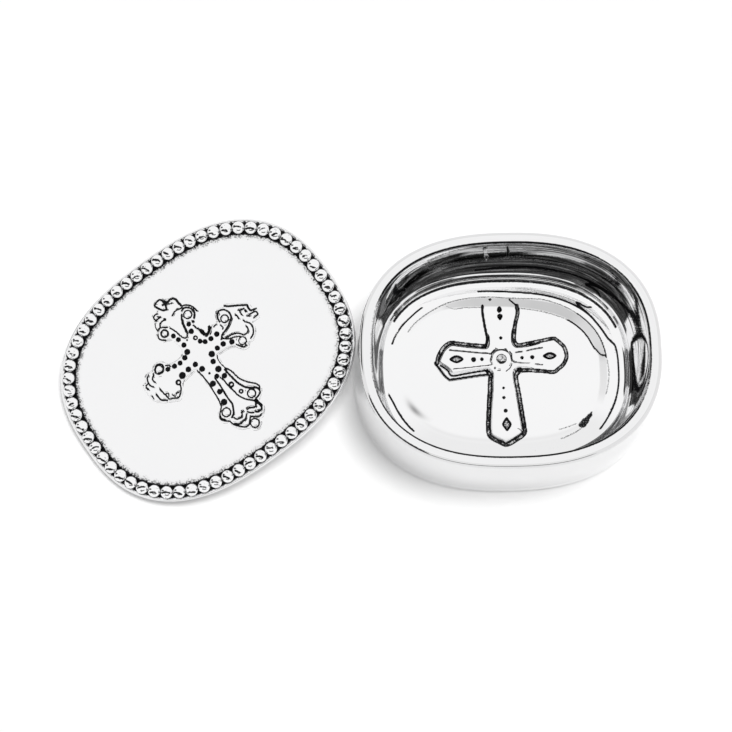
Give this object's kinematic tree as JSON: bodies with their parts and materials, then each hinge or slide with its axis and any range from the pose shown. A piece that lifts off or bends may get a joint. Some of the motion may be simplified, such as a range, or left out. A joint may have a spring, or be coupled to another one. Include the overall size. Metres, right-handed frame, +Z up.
{
  "type": "keepsake box",
  "caption": "Oval cast metal keepsake box: a deep tray with a cross on its floor, and a loose beaded lid with an ornate cross, lying off and leaning on the tray.",
  "frame": {"origin": "middle of the tray's flat underside, on the surface that the box stands on", "axes": "+X along the tray's long way with the lid lying on the -X side, +Y towards the head of the tray's cross, +Z up"},
  "size_m": [0.2337, 0.1077, 0.0369],
  "materials": {
    "cast_metal": "polished, with darkened recesses"
  },
  "bodies": {
    "tray": {"tray": "cast_metal"},
    "lid": {"lid": "cast_metal"}
  },
  "joints": [
    {"name": "lid_lift", "type": "slide", "parent": "tray", "child": "lid", "axis": [0, 0, 1], "range_m": [0, 0.06]}
  ]
}
